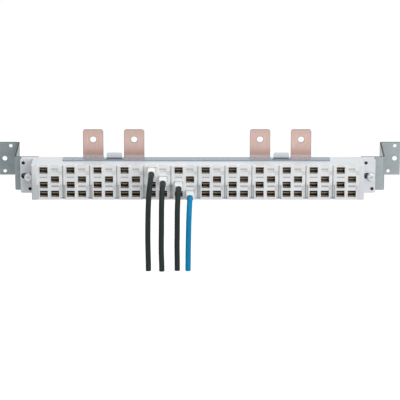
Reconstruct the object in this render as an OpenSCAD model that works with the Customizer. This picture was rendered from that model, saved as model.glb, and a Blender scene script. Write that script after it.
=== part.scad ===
// Four-pole power distribution block for one row of an enclosure.
// A moulded carrier holds four busbars with feed lugs, terminal modules close its
// front, and two folded brackets hold it to a frame. Four wires are plugged in.
// Millimetres: +X is right, -Y is the front, +Z is up. The origin lies on the mounting
// plane, midway between the two bracket bolts.

/* [Terminal modules] */
// Distance from one module to the next
module_pitch = 36; // [35:0.5:38]
// Open groove between two modules
module_gap = 1.4; // [0.8:0.1:2]
// Gap between two modules behind their fronts
shoulder_gap = 0.3; // [0.2:0.05:0.6]
// Depth of a module behind the front face
module_d = 9.4; // [8.8:0.1:9.5]
// Thickness of a module's front plate
plate_t = 2.2; // [1.8:0.1:3]
// Rounding of the long front edges
edge_r = 1.4; // [0.6:0.1:1.6]
// Distance of each column of windows from the module's middle
column_x = 7.6; // [7:0.1:8.5]
// Width of a wire window
window_w = 10.8; // [9.4:0.1:10.9]
// Height of a wire window at the front face
window_h = 9; // [8.6:0.1:9.4]
// Width of the rim round a window
rim_w = 1.2; // [0.8:0.1:1.4]
// How far a rim stands out of the front face
rim_h = 0.6; // [0.3:0.1:0.9]
// Corner radius of a rim
rim_r = 0.8; // [0.4:0.1:1.2]
// How far the window's ceiling comes down inside
ceiling_drop = 1.2; // [1:0.1:1.6]
// Depth over which the ceiling comes down
ceiling_run = 3; // [2:0.5:4]
// Depth of the slope on a window's sill
sill_run = 1.6; // [0.8:0.1:3]
// Fall of the slope on a window's sill
sill_fall = 0.4; // [0.2:0.1:0.6]
// Width of the recess on the lower side edges
notch_w = 2.6; // [1.5:0.1:3]
// Height of the recess on the lower side edges
notch_h = 21; // [15:0.5:30]
// Depth of the recess on the lower side edges
notch_d = 4; // [2.5:0.5:8]
// Width of the blank pad beside the top window
pad_w = 8.6; // [6:0.1:10]
// Height of the blank pad
pad_h = 5.6; // [4:0.1:7]
// Depth of the blank pad
pad_sink = 0.5; // [0.3:0.1:1.2]
// Height of a marking groove
mark_h = 1.4; // [0.8:0.1:2]
// Depth of a marking groove
mark_sink = 0.4; // [0.2:0.1:0.8]
// Height of a marking groove above the row under it
mark_rise = 10.4; // [9:0.1:12]

/* [Rows of windows] */
// Height of the lowest row above the bottom of the block
row_4_rise = 8.6; // [6.8:0.1:9]
// From row 4 up to row 3
row_step_low = 12.4; // [11.6:0.1:14]
// From row 3 up to row 2
row_step_mid = 7.5; // [7.3:0.1:10]
// From row 2 up to row 1
row_step_high = 12.5; // [11.5:0.1:14]
// From row 1 up to the top face
row_1_drop = 6.8; // [6.2:0.1:9]

/* [Carrier] */
// Thickness of the top and bottom walls
wall_t = 1.6; // [1.2:0.1:1.7]
// Thickness of the back wall
back_wall_t = 1.8; // [1.4:0.1:3]
// Depth of the shallow pockets in the back
pocket_sink = 0.6; // [0.3:0.1:0.9]
// Distance between two pockets, and from a pocket to the top and bottom
pocket_frame = 5; // [3:0.5:10]
// Corner radius of the pockets
pocket_r = 2; // [1:0.5:4]
// Thickness of the ribs that hold the busbars
rib_t = 2; // [1.4:0.2:4]
// Thickness of the rails between the poles
rail_t = 1.2; // [0.8:0.1:1.4]
// Depth of the rails between the poles
rail_d = 7; // [5:0.5:10]
// Thickness of the end caps
cheek_t = 5.7; // [4:0.1:8]
// Reach of the end cap's tongue into the carrier
lip_l = 3; // [1:0.5:5]
// Reach of an ear beyond the end cap
ear_reach = 17.2; // [17:0.2:24]
// Thickness of an ear
ear_t = 9; // [6:0.5:12]
// Corner radius of an ear
ear_r = 2.5; // [1:0.5:4]
// Length of the slot in an ear
ear_slot_l = 15; // [12.5:0.5:15.5]
// Height of the slot in an ear
ear_slot_h = 8; // [7:0.2:9]
// Diameter of the small holes in an ear
ear_hole_d = 4.6; // [2.5:0.1:5]
// Sideways place of a small hole from the ear's middle
ear_hole_x = 4.3; // [3:0.1:5.5]
// Distance of a small hole from the ear's edge
ear_hole_inset = 5.9; // [4:0.1:7]
// Sideways place of the block in its ear slots
block_shift = -2.5; // [-3.5:0.1:3.5]

/* [Busbars] */
// Distance of a busbar's front edge behind the front face
bar_inset = 10; // [9.4:0.1:11]
// Thickness of a busbar
bar_t = 2; // [1.5:0.1:2.4]
// Depth of a busbar
bar_d = 16; // [15:0.5:20]
// Distance of a busbar's middle below its row
bar_drop = 0.7; // [0.3:0.1:1]
// Distance from a busbar's end to the end of the carrier
bar_end_gap = 1; // [0.5:0.5:4]
// Length of a contact spring
spring_l = 8; // [7.5:0.1:8.5]
// Width of a contact spring
spring_w = 7; // [4:0.5:9]
// Thickness of a contact spring
spring_t = 0.5; // [0.3:0.1:0.6]
// Length of a spring's flat root on its busbar
spring_root = 2; // [1.5:0.1:2.3]
// How far a spring dips under its busbar
spring_dip = 1.9; // [1.6:0.1:2]
// Distance of that dip behind the busbar's front edge
spring_dip_at = 4.9; // [4.7:0.1:5]
// Distance of a spring's contact behind the busbar's front edge
spring_touch_at = 2; // [1.5:0.1:3]
// Distance of a spring's tip behind the busbar's front edge
spring_tip_at = 0.4; // [0.2:0.1:0.8]
// How far a spring's tip bends down
spring_tip_drop = 0.8; // [0.4:0.1:1]

/* [Feed lugs] */
// Width of a lug
lug_w = 27.5; // [20:0.5:28]
// Thickness of a lug
lug_t = 3; // [2:0.2:4]
// Height of a lug above the block
lug_rise = 39.5; // [30:0.5:60]
// Corner radius at a lug's top
lug_r = 2; // [0.5:0.5:5]
// Diameter of a lug's hole
lug_hole_d = 8.4; // [5.5:0.1:10.5]
// Distance of a lug's hole below its top
lug_hole_drop = 14; // [8:0.5:20]
// Distance between the two lugs of a pair
lug_pitch = 55; // [53:0.5:60]
// Distance of each pair from the middle of the lug row
lug_pair_x = 112; // [110:0.5:116]
// Sideways place of the lug row on the block
lug_shift = -1; // [-2:0.1:2]
// Distance from a busbar to the upright part of a lug
riser_gap = 12; // [10:0.5:16]
// Inside radius of a lug's bend
lug_bend_r = 2; // [1:0.5:4]
// Diameter of a lug rivet
rivet_d = 4; // [3:0.1:4.5]
// Diameter of a rivet's head
rivet_head_d = 6.4; // [5.5:0.1:7]
// Height of a rivet's head
rivet_head_h = 1.4; // [0.8:0.1:1.8]
// Distance between the two rivets of a lug
rivet_pitch = 14; // [9:0.5:16]

/* [Cover strip and clips] */
// Depth of the cover strip
strip_d = 16; // [14:0.5:20]
// Thickness of the cover strip
strip_t = 1.5; // [1:0.1:2.5]
// Distance of the strip's left end from the end of the carrier
strip_left = 35; // [10:1:40]
// Distance of the strip's right end from the end of the carrier
strip_right = 39; // [8:1:42]
// Cut on the strip's corners
strip_cut = 1.5; // [0.5:0.5:5]
// Width of a clip above the top wall
clip_w = 21; // [16:0.5:24]
// Width of a clip's stem
clip_stem_w = 18.6; // [10:0.1:19]
// Thickness of a clip
clip_t = 2.4; // [1.6:0.1:2.6]
// Height of a clip above the cover strip
clip_rise = 7; // [4:0.5:10]
// Cut on a clip's upper corners
clip_cut = 1.6; // [0.5:0.1:3]
// Reach of a clip's barb under the top wall
barb = 1.2; // [0.8:0.1:1.4]
// Length of the open notch in front of a clip
clip_notch = 9.5; // [5:0.5:11]
// Width of the notch on each side of a clip
clip_side = 2.8; // [1:0.1:5]

/* [Brackets] */
// Thickness of the bracket sheet
sheet_t = 2; // [1.5:0.1:2.5]
// Depth of a bracket from its front face to the mounting plane
bracket_d = 77; // [60:1:100]
// Height of a bracket
bracket_h = 46.5; // [45:0.5:50]
// Distance from an ear's end to the bracket's side
bracket_side_gap = 10.5; // [8:0.5:16]
// Width of the front flange
front_flange = 32.5; // [30:0.5:33]
// Width of the rear flange
rear_flange = 26.5; // [25:0.5:32]
// Inside radius of the folds
fold_r = 1.5; // [1:0.1:3]
// Diameter of the mounting bolt hole
bolt_hole_d = 6.6; // [5.5:0.1:8.4]
// Distance of the mounting bolt hole from the bracket's side
bolt_out = 19; // [18:0.5:20]
// Diameter of the two smaller holes
pin_hole_d = 4.8; // [3:0.1:5.5]
// Height of the smaller holes above and below the bolt hole
pin_z = 18; // [14:0.5:19]
// Distance of the nearer small hole from the bracket's side
pin_out = 10.5; // [9:0.5:16]

/* [Screws] */
// Diameter of a mounting screw
screw_d = 6; // [5:0.5:6]
// Width of the upright slot for it in the bracket
flange_slot_w = 6.6; // [6.2:0.1:7]
// Height of the upright slot for it in the bracket
flange_slot_h = 11; // [10.6:0.1:14]
// Distance of the screws below the middle of their slots in the brackets
screw_sink = 1.9; // [0:0.1:2]
// Diameter of a screw's head
head_d = 11.4; // [10:0.1:13.5]
// Height of a screw's head
head_h = 4.8; // [3.5:0.1:6]
// Rounding of a screw's head
head_r = 2.2; // [1:0.1:3]
// Width of the cross recess in the head
cross_w = 1.2; // [0.8:0.1:1.8]
// Length of the cross recess
cross_l = 6; // [4:0.5:7]
// Depth of the cross recess
cross_sink = 2; // [1:0.5:2.5]
// Width of a nut across its flats
nut_flats = 10; // [8:0.5:10.5]
// Height of a nut
nut_h = 5; // [4:0.5:7]
// How far a screw comes out of its nut
screw_out = 1.5; // [0.5:0.5:6]

/* [Wire plugs] */
// How far a plug stands out of the front face
plug_out = 16.5; // [10:0.5:20]
// How far a plug reaches into its window
plug_in = 8; // [5:0.5:8.5]
// Cut on the front edges of a plug
plug_cut = 0.8; // [0.3:0.1:1.2]
// Thickness of a plug's blade
blade_t = 1.2; // [0.8:0.1:1.4]
// Width of a plug's blade
blade_w = 7; // [4:0.5:8]
// Reach of a blade behind its plug
blade_l = 6.4; // [4:0.2:6.4]
// Depth of a blade's root in its plug
blade_root = 5; // [3:0.5:8]
// Diameter of the boot round a wire at its plug
boot_d = 8.2; // [7.8:0.1:8.4]
// Length of a boot
boot_l = 4.5; // [2:0.5:5]
// Rounding of a boot's front edge
boot_r = 0.4; // [0.2:0.1:0.4]
// Diameter of a wire
wire_d = 7.2; // [5:0.1:7.4]
// Distance of a wire's middle below its row
wire_drop = 0.85; // [0.5:0.05:1]

/* [Fits] */
// Clearance of the modules between the carrier's walls
module_fit = 0.1; // [0.05:0.05:0.2]
// Clearance of a busbar in its slots
bar_fit = 0.15; // [0.05:0.05:0.3]
// Clearance of a lug or clip in the carrier's top wall
lug_fit = 0.4; // [0.2:0.1:0.6]
// Clearance between a lug and the back wall
riser_fit = 0.2; // [0.1:0.05:0.4]
// Clearance of a plug in its window
plug_fit = 0.2; // [0.1:0.05:0.3]
// Running clearance of pieces that only just touch
touch_fit = 0.05; // [0.02:0.01:0.1]

/* [Hidden] */
$fn = 48;
eps = 0.5;
module_count = 12;
SHELL = [0.87, 0.88, 0.89];
WHITE = [0.95, 0.95, 0.95];
CLIP_GREY = [0.79, 0.81, 0.84];
STRIP_BLUE = [0.6, 0.66, 0.7];
COPPER = [0.8, 0.62, 0.54];
BRONZE = [0.6, 0.44, 0.26];
ZINC = [0.64, 0.67, 0.68];
BLACK = [0.12, 0.15, 0.15];
BLUE = [0.05, 0.45, 0.75];

// Row heights above the bottom of the block, from the top row down
row_3_rise = row_4_rise + row_step_low;
row_2_rise = row_3_rise + row_step_mid;
row_1_rise = row_2_rise + row_step_high;
row_rise = [row_1_rise, row_2_rise, row_3_rise, row_4_rise];
block_h = row_1_rise + row_1_drop;

// Windows of one module as [column side, row]
CELLS = [[-1, 0], [1, 1], [-1, 2], [-1, 3], [1, 3]];
// Modules, columns and rows of the four wires
WIRED = [[4, -1, 0], [4, 1, 1], [5, -1, 2], [5, 1, 3]];
wire_count = len(WIRED);
pole_count = len(row_rise);

row_len = module_count * module_pitch;
row_half = row_len / 2;
module_w = module_pitch - module_gap;
shoulder_w = module_pitch - shoulder_gap;
cap_end = row_half + cheek_t;
ear_end = cap_end + ear_reach;
ear_mid = cap_end + ear_reach / 2;
wall_x = ear_end + bracket_side_gap;

// Depths behind the front face
bar_back = bar_inset + bar_d;
riser_front = bar_back + riser_gap;
riser_back = riser_front + lug_t;
cavity_back = riser_back + riser_fit;
block_d = cavity_back + back_wall_t;
foot_front = bar_inset + spring_l + lug_fit;
foot_lap = bar_back - foot_front;
ear_front = block_d - ear_t;
strip_back = riser_front - lug_fit;
strip_front = strip_back - strip_d;
clip_back = strip_back - lug_fit;
clip_front = clip_back - clip_t;
clip_notch_w = clip_w + 2 * clip_side;

// Heights in the block
ceiling_z = block_h - wall_t;
lug_top = block_h + lug_rise;
// The screws stand on the lower edges of the ear slots
block_drop = screw_sink - (ear_slot_h - screw_d) / 2 + touch_fit;

// Lugs stand under their bar, above it, under it and above it, so that no foot nears a wall
FOOT_SIDE = [-1, 1, -1, 1];
lug_x = [for (side = [-1, 1], end = [-1, 1]) lug_shift + side * lug_pair_x + end * lug_pitch / 2];
clip_x = [for (side = [-1, 1]) side * lug_pair_x];
// Ribs stand behind the middle of a module or the groove between two, clear of the windows
rib_x = [for (half_pitches = [-9, -3, 0, 3, 9]) half_pitches * module_pitch / 2];

lug_bend_out = lug_bend_r + lug_t;
fold_out = fold_r + sheet_t;
nut_d = nut_flats / cos(30);
cell_floor = -window_h / 2;
cell_ceiling = window_h / 2 - ceiling_drop;
bar_under = -bar_drop - bar_t / 2;
plug_w = window_w - 2 * plug_fit;
rail_front = module_d + lug_fit;
rib_front = module_d + bar_fit;
wire_sides = 12;

// Routes of the wires, from the plug's face to the cut end
WIRE_ROUTES = [
    [[-64.1, -136.5, 15], [-64.1, -140, 15], [-64.2, -143.5, 14.9], [-64.6, -150.5, 13.7],
     [-65.2, -157, 10.3], [-65.9, -162.2, 5.1], [-66.6, -165.6, -1.7], [-67.2, -166.8, -9.2],
     [-67.6, -167, -17.7], [-68, -167, -27.7], [-68.3, -167, -39.7], [-68.5, -167, -51.7],
     [-68.6, -167, -63.7], [-68.5, -167, -75.7], [-68.3, -167, -87.7], [-68.1, -167, -98.7],
     [-68, -167, -108.7]],
    [[-48.9, -136.5, 3.1], [-48.9, -140, 3.1], [-49, -143.5, 3], [-49.2, -150.5, 1.8],
     [-49.5, -157, -1.6], [-49.8, -162.2, -6.8], [-50.1, -165.6, -13.6], [-50.3, -166.8, -21.1],
     [-50.4, -167, -29.7], [-50.5, -167, -41.7], [-50.6, -167, -53.7], [-50.8, -167, -65.7],
     [-50.9, -167, -77.7], [-50.7, -167, -89.7], [-50.4, -167, -99.7], [-50.3, -167, -108.7]],
    [[-28.1, -136.5, -5.3], [-28.1, -140, -5.3], [-28.2, -143.5, -5.4], [-28.4, -150.5, -6.6],
     [-28.7, -157, -10], [-29, -162.2, -15.2], [-29.3, -165.6, -22], [-29.5, -166.8, -29.5],
     [-29.6, -167, -37.7], [-29.7, -167, -49.7], [-29.8, -167, -61.7], [-30, -167, -73.7],
     [-29.9, -167, -85.7], [-29.8, -167, -97.7], [-29.8, -167, -108.7]],
    [[-12.9, -136.5, -17.4], [-12.9, -140, -17.4], [-13, -143.5, -17.5], [-13.2, -150.5, -18.7],
     [-13.5, -157, -22.1], [-13.8, -162.2, -27.3], [-14.1, -165.6, -34.1], [-14.4, -166.8, -41.6],
     [-14.6, -167, -49.7], [-14.8, -167, -59.7], [-15, -167, -69.7], [-15.2, -167, -79.7],
     [-15.3, -167, -89.7], [-15.4, -167, -99.7], [-15.5, -167, -108.7]]
];

function numbered(name, count) = [for (i = [1:count]) str(name, i)];

function module_x(i) = (i + 0.5) * module_pitch - row_half;
function bar_z(row) = row_rise[row] - bar_drop;
function rail_z(i) = (bar_z(i) - bar_t - spring_dip - spring_t + bar_z(i + 1)) / 2 + bar_t / 2;
function is_wired(cell) = len([for (w = WIRED) if (w == cell) w]) > 0;

// Puts a piece in the block: x from its middle, y behind its front face, z above its bottom
module in_block() {
    translate([block_shift, -bracket_d - block_d, -block_h / 2 - block_drop]) children();
}

// Extrudes a side view, depth by height, along X, centred
module along_x(length) {
    rotate([90, 0, 90]) linear_extrude(length, center = true) children();
}

// Extrudes a front view, width by height, backwards along Y
module along_y(length) {
    translate([0, length, 0]) rotate([90, 0, 0]) linear_extrude(length) children();
}

// A hole along Y
module hole_y(d, length) {
    rotate([-90, 0, 0]) cylinder(d = d, h = length);
}

// What a rounded corner leaves of a square at the origin, to be cut away
module corner_2d(r) {
    difference() {
        translate([-eps, -eps]) square(r + eps);
        translate([r, r]) circle(r);
    }
}

// A rectangle centred on x, standing on z = 0, with the given corners rounded
module rounded_2d(w, h, r) {
    difference() {
        translate([-w / 2, 0]) square([w, h]);
        for (side = [0, 1], end = [0, 1])
            mirror([side, 0]) translate([-w / 2, end * h]) mirror([0, end]) corner_2d(r);
    }
}

// Side view of a front of the given thickness: both long front edges rounded
module front_2d(d) {
    difference() {
        square([d, block_h]);
        corner_2d(edge_r);
        translate([0, block_h]) mirror([0, 1]) corner_2d(edge_r);
    }
}

// A quarter of a folded strip, round the origin, towards +x and -y
module fold_2d(r, t) {
    intersection() {
        difference() {
            circle(r + t);
            circle(r);
        }
        translate([0, -r - t]) square(r + t);
    }
}

// Carrier

// A slot along x with round ends, centred
module slot_2d(length, h) {
    run = length - h;
    square([run, h], center = true);
    for (side = [-1, 1]) translate([side * run / 2, 0]) circle(d = h);
}

module ear_cuts() {
    for (turn = [0, 1]) translate([0, ear_front - eps, block_h / 2]) rotate([0, turn * 180, 0])
        translate([ear_mid, 0, 0]) {
            along_y(ear_t + 2 * eps) slot_2d(ear_slot_l, ear_slot_h);
            for (end = [-1, 1])
                translate([-end * ear_hole_x, 0, end * (block_h / 2 - ear_hole_inset)])
                    hole_y(ear_hole_d, ear_t + 2 * eps);
        }
}

// A plate across the carrier with open slots that take the busbars and the rails
module rib() {
    difference() {
        translate([-rib_t / 2, rib_front, wall_t])
            cube([rib_t, cavity_back - rib_front, ceiling_z - wall_t]);
        for (row = [0:pole_count - 1]) rib_slot(bar_z(row), bar_t, bar_back);
        for (i = [0:pole_count - 2]) rib_slot(rail_z(i), rail_t, rail_front + rail_d);
    }
}

module rib_slot(z, t, back) {
    translate([-rib_t, rib_front - eps, z - t / 2 - bar_fit])
        cube([2 * rib_t, back + bar_fit - rib_front + eps, t + 2 * bar_fit]);
}

module carrier() color(SHELL) in_block() {
    difference() {
        union() {
            translate([0, ear_front, 0]) along_y(ear_t) rounded_2d(2 * ear_end, block_h, ear_r);
            translate([-row_half, plate_t, 0]) cube([row_len, block_d - plate_t, block_h]);
        }
        translate([-row_half, plate_t - eps, wall_t])
            cube([row_len, cavity_back - plate_t + eps, ceiling_z - wall_t]);
        for (x = lug_x) translate([x - lug_w / 2 - lug_fit, strip_back, ceiling_z - eps])
            cube([lug_w + 2 * lug_fit, cavity_back - strip_back, wall_t + 2 * eps]);
        for (x = clip_x) translate([x, clip_front, ceiling_z - eps]) {
            translate([-clip_stem_w / 2 - lug_fit, -clip_notch, 0])
                cube([clip_stem_w + 2 * lug_fit, clip_notch + clip_t + touch_fit, wall_t + 2 * eps]);
            translate([-clip_notch_w / 2, -clip_notch, 0]) cube([clip_notch_w, clip_notch, wall_t + 2 * eps]);
        }
        ear_cuts();
        for (i = [0:module_count - 1]) translate([module_x(i), block_d - pocket_sink, pocket_frame])
            along_y(pocket_sink + eps)
                rounded_2d(module_pitch - pocket_frame, block_h - 2 * pocket_frame, pocket_r);
    }
    for (x = rib_x) translate([x, 0, 0]) rib();
}

// A rib on an end cap that fills the recess in the outer edge of the end module
module cap_rib() {
    reach = module_gap / 2 + notch_w - touch_fit;
    intersection() {
        translate([row_half + (eps - reach) / 2, rim_h, 0])
            along_x(reach + eps) front_2d(plate_t - rim_h - touch_fit);
        translate([row_half - reach, 0, 0]) cube([reach + eps, plate_t, notch_h - touch_fit]);
    }
}

// An end cap: the cheek, its rib, and a tongue that enters the carrier behind the busbars
module end_cap() {
    tongue_front = bar_back + lug_fit;
    intersection() {
        translate([row_half + cheek_t / 2, 0, 0]) along_x(cheek_t) front_2d(ear_front);
        difference() {
            translate([row_half, 0, 0]) cube([cheek_t, ear_front, block_h]);
            translate([cap_end, 0, -eps]) mirror([1, 0, 0])
                linear_extrude(block_h + 2 * eps) corner_2d(edge_r);
        }
    }
    cap_rib();
    translate([row_half - lip_l, tongue_front, wall_t + module_fit])
        cube([lip_l, ear_front - lug_fit - tongue_front, ceiling_z - wall_t - 2 * module_fit]);
}

module end_cap_right() color(SHELL) in_block() end_cap();

module end_cap_left() color(SHELL) in_block() mirror([1, 0, 0]) end_cap();

// Terminal modules

// Side view of a wire window, round the row's middle
module window_2d() {
    half = window_h / 2;
    polygon([
        [-eps, half], [0, half], [ceiling_run, cell_ceiling], [module_d + eps, cell_ceiling],
        [module_d + eps, cell_floor], [sill_run, cell_floor], [0, cell_floor - sill_fall],
        [-eps, cell_floor - sill_fall]
    ]);
}

module window_rim() {
    translate([0, 0, cell_floor - rim_w]) along_y(plate_t)
        rounded_2d(window_w + 2 * rim_w, window_h + 2 * rim_w, rim_r);
}

module module_cuts() {
    for (cell = CELLS) translate([cell[0] * column_x, 0, row_rise[cell[1]]]) along_x(window_w) window_2d();
    for (side = [0, 1]) mirror([side, 0, 0])
        translate([module_w / 2 - notch_w, -eps, -eps])
            cube([notch_w + module_gap, notch_d + eps, notch_h + eps]);
    translate([column_x - pad_w / 2, 0, row_rise[0] - pad_h / 2]) cube([pad_w, rim_h + pad_sink, pad_h]);
    for (mark = [[-1, 2], [1, 3]])
        translate([mark[0] * column_x - pad_w / 2, 0, row_rise[mark[1]] + mark_rise - mark_h / 2])
            cube([pad_w, rim_h + mark_sink, mark_h]);
}

module terminal_module(i) color(SHELL) in_block() translate([module_x(i), 0, 0]) {
    difference() {
        union() {
            translate([0, rim_h, 0]) along_x(module_w) front_2d(plate_t - rim_h);
            for (cell = CELLS) translate([cell[0] * column_x, 0, row_rise[cell[1]]]) window_rim();
            translate([-shoulder_w / 2, plate_t - touch_fit, wall_t + module_fit])
                cube([shoulder_w, module_d - plate_t + touch_fit, ceiling_z - wall_t - 2 * module_fit]);
        }
        module_cuts();
    }
}

// Busbars, springs and lugs

module rivet_holes(row, z, length) {
    for (side = [-1, 1])
        translate([lug_x[row] + side * rivet_pitch / 2, foot_front + foot_lap / 2, z])
            cylinder(d = rivet_d + 2 * touch_fit, h = length);
}

module busbar(row) color(COPPER) in_block() {
    length = row_len - 2 * bar_end_gap;
    difference() {
        translate([-length / 2, bar_inset, bar_z(row) - bar_t / 2]) cube([length, bar_d, bar_t]);
        rivet_holes(row, bar_z(row) - bar_t / 2 - eps, bar_t + 2 * eps);
    }
}

// A folded leaf under a busbar; a plug's blade pushes it down by the given amount
module contact_spring(push) {
    line = [
        [spring_l, 0], [spring_l - spring_root, 0], [spring_dip_at, -spring_dip],
        [spring_touch_at, -push], [spring_tip_at, -push - spring_tip_drop]
    ];
    last = len(line) - 1;
    along_x(spring_w) polygon(concat(line, [for (i = [0:last]) line[last - i] - [0, spring_t]]));
}

module contact_springs(row) color(BRONZE) in_block() {
    for (i = [0:module_count - 1], cell = CELLS) if (cell[1] == row)
        translate([module_x(i) + cell[0] * column_x, bar_inset, row_rise[row] + bar_under - touch_fit])
            contact_spring(is_wired([i, cell[0], row]) ? blade_t + touch_fit : 0);
}

module barrier_rail(i) color(SHELL) in_block() {
    length = row_len - 2 * bar_end_gap;
    translate([-length / 2, rail_front, rail_z(i) - rail_t / 2]) cube([length, rail_d, rail_t]);
}

// Height of the lower face of a lug's foot
function foot_z(row) = bar_z(row) + FOOT_SIDE[row] * bar_t / 2 - (FOOT_SIDE[row] < 0 ? lug_t : 0);

// Side view of a lug: its foot, the bend and the riser
module lug_2d(row) {
    z = foot_z(row);
    translate([foot_front, z]) square([riser_back - lug_bend_out - foot_front, lug_t]);
    translate([riser_back - lug_bend_out, z + lug_bend_out]) fold_2d(lug_bend_r, lug_t);
    translate([riser_front, z + lug_bend_out]) square([lug_t, lug_top - z - lug_bend_out]);
}

module feed_lug(row) color(COPPER) in_block() {
    difference() {
        translate([lug_x[row], 0, 0]) difference() {
            along_x(lug_w) lug_2d(row);
            for (side = [0, 1]) mirror([side, 0, 0])
                translate([-lug_w / 2, riser_front - eps, lug_top]) mirror([0, 0, 1])
                    along_y(lug_t + 2 * eps) corner_2d(lug_r);
            translate([0, riser_front - eps, lug_top - lug_hole_drop]) hole_y(lug_hole_d, lug_t + 2 * eps);
        }
        rivet_holes(row, foot_z(row) - eps, lug_t + 2 * eps);
    }
}

module lug_rivets() color(COPPER) in_block() {
    grip = bar_t + lug_t;
    for (row = [0:pole_count - 1], side = [-1, 1])
        translate([lug_x[row] + side * rivet_pitch / 2, foot_front + foot_lap / 2,
                   min(foot_z(row), bar_z(row) - bar_t / 2)]) {
            cylinder(d = rivet_d, h = grip);
            translate([0, 0, -rivet_head_h]) cylinder(d = rivet_head_d, h = rivet_head_h);
            translate([0, 0, grip]) cylinder(d = rivet_head_d, h = rivet_head_h);
        }
}

// Cover strip and clips

module cover_strip() color(STRIP_BLUE) in_block() {
    left = -row_half + strip_left;
    right = row_half - strip_right;
    translate([0, 0, block_h]) difference() {
        linear_extrude(strip_t) polygon([
            [left + strip_cut, strip_back], [left, strip_back - strip_cut],
            [left, strip_front + strip_cut], [left + strip_cut, strip_front],
            [right - strip_cut, strip_front], [right, strip_front + strip_cut],
            [right, strip_back - strip_cut], [right - strip_cut, strip_back]
        ]);
        for (x = clip_x) translate([x - clip_notch_w / 2, clip_front - clip_notch, -eps])
            cube([clip_notch_w, strip_d, strip_t + 2 * eps]);
    }
}

// A tab on the top wall, with a stem through the wall and a barb behind it
module cover_clip(x) color(CLIP_GREY) in_block() translate([x, 0, 0]) {
    barb_top = ceiling_z - touch_fit;
    barb_low = barb_top - 2 * barb;
    tab = strip_t + clip_rise;
    translate([0, clip_front, block_h]) along_y(clip_t) polygon([
        [-clip_w / 2, 0], [clip_w / 2, 0], [clip_w / 2, tab - clip_cut], [clip_w / 2 - clip_cut, tab],
        [-clip_w / 2 + clip_cut, tab], [-clip_w / 2, tab - clip_cut]
    ]);
    along_x(clip_stem_w) polygon([
        [clip_front, block_h], [clip_front, barb_low], [clip_back, barb_low],
        [clip_back + barb, barb_top], [clip_back, barb_top], [clip_back, block_h]
    ]);
}

// Brackets and their screws

// Plan of the right bracket: front flange, side and rear flange
module bracket_2d() {
    translate([wall_x - front_flange, -bracket_d]) square([front_flange - fold_out, sheet_t]);
    translate([wall_x - fold_out, -bracket_d + fold_out]) fold_2d(fold_r, sheet_t);
    translate([wall_x - sheet_t, -bracket_d + fold_out]) square([sheet_t, bracket_d - 2 * fold_out]);
    translate([wall_x + fold_r, -fold_out]) rotate(180) fold_2d(fold_r, sheet_t);
    translate([wall_x + fold_r, -sheet_t]) square([rear_flange - fold_r, sheet_t]);
}

module bracket() {
    difference() {
        translate([0, 0, -bracket_h / 2]) linear_extrude(bracket_h) bracket_2d();
        translate([ear_mid, -bracket_d - eps, 0]) along_y(sheet_t + 2 * eps)
            rotate(90) slot_2d(flange_slot_h, flange_slot_w);
        translate([wall_x + bolt_out, -sheet_t - eps, 0]) hole_y(bolt_hole_d, sheet_t + 2 * eps);
        translate([wall_x + bolt_out, -sheet_t - eps, pin_z]) hole_y(pin_hole_d, sheet_t + 2 * eps);
        translate([wall_x + pin_out, -sheet_t - eps, -pin_z]) hole_y(pin_hole_d, sheet_t + 2 * eps);
    }
}

module bracket_right() color(ZINC) bracket();

module bracket_left() color(ZINC) rotate([0, 180, 0]) bracket();

// A screw with a round head and a cross recess
module mounting_screw() {
    difference() {
        union() {
            rotate([90, 0, 0]) rotate_extrude() difference() {
                square([head_d / 2, head_h]);
                translate([head_d / 2, head_h]) rotate(180) corner_2d(head_r);
            }
            hole_y(screw_d, ear_t + sheet_t + nut_h + screw_out);
        }
        for (turn = [45, 135]) rotate([0, turn, 0])
            translate([-cross_l / 2, -head_h - eps, -cross_w / 2]) cube([cross_l, cross_sink + eps, cross_w]);
    }
}

module mounting_screws() color(ZINC) {
    for (side = [-1, 1]) translate([side * ear_mid, -bracket_d - ear_t, -screw_sink]) mounting_screw();
}

module mounting_nuts() color(ZINC) {
    for (side = [-1, 1]) translate([side * ear_mid, -bracket_d + sheet_t, -screw_sink]) difference() {
        rotate([-90, 0, 0]) cylinder(d = nut_d, h = nut_h, $fn = 6);
        translate([0, -eps, 0]) hole_y(screw_d + 2 * touch_fit, nut_h + 2 * eps);
    }
}

// Plugs and wires

module at_cell(cell) {
    in_block() translate([module_x(cell[0]) + cell[1] * column_x, 0, row_rise[cell[2]]]) children();
}

// Height of a blade's middle: it lies under its busbar
blade_z = bar_under - touch_fit - blade_t / 2;

// Side view of a plug: the body in front of the face, and its nose in the window
module plug_2d() {
    low = cell_floor + plug_fit;
    high = window_h / 2 - plug_fit;
    nose = cell_ceiling - plug_fit;
    polygon([
        [-plug_out, low + plug_cut], [-plug_out, high - plug_cut], [-plug_out + plug_cut, high],
        [0, high], [ceiling_run, nose], [plug_in, nose], [plug_in, low], [-plug_out + plug_cut, low]
    ]);
}

module wire_plug(i) color(WHITE) at_cell(WIRED[i]) {
    difference() {
        along_x(plug_w) plug_2d();
        for (side = [0, 1]) mirror([side, 0, 0])
            translate([plug_w / 2, -plug_out, -window_h]) linear_extrude(2 * window_h)
                polygon([[eps, -eps], [-plug_cut - eps, -eps], [-plug_cut, 0], [0, plug_cut],
                         [eps, plug_cut + eps]]);
        translate([-blade_w / 2 - touch_fit, plug_in - blade_root, blade_z - blade_t / 2 - touch_fit])
            cube([blade_w + 2 * touch_fit, blade_root + eps, blade_t + 2 * touch_fit]);
    }
}

// A sleeve on a plug's face, round the start of its wire
module wire_boot(i) color(i == wire_count - 1 ? BLUE : BLACK) at_cell(WIRED[i])
    translate([0, -plug_out, -wire_drop]) rotate([90, 0, 0]) rotate_extrude() difference() {
        inner = wire_d / 2 + touch_fit;
        translate([inner, 0]) square([boot_d / 2 - inner, boot_l]);
        translate([boot_d / 2, boot_l]) rotate(180) corner_2d(boot_r);
    }

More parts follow.
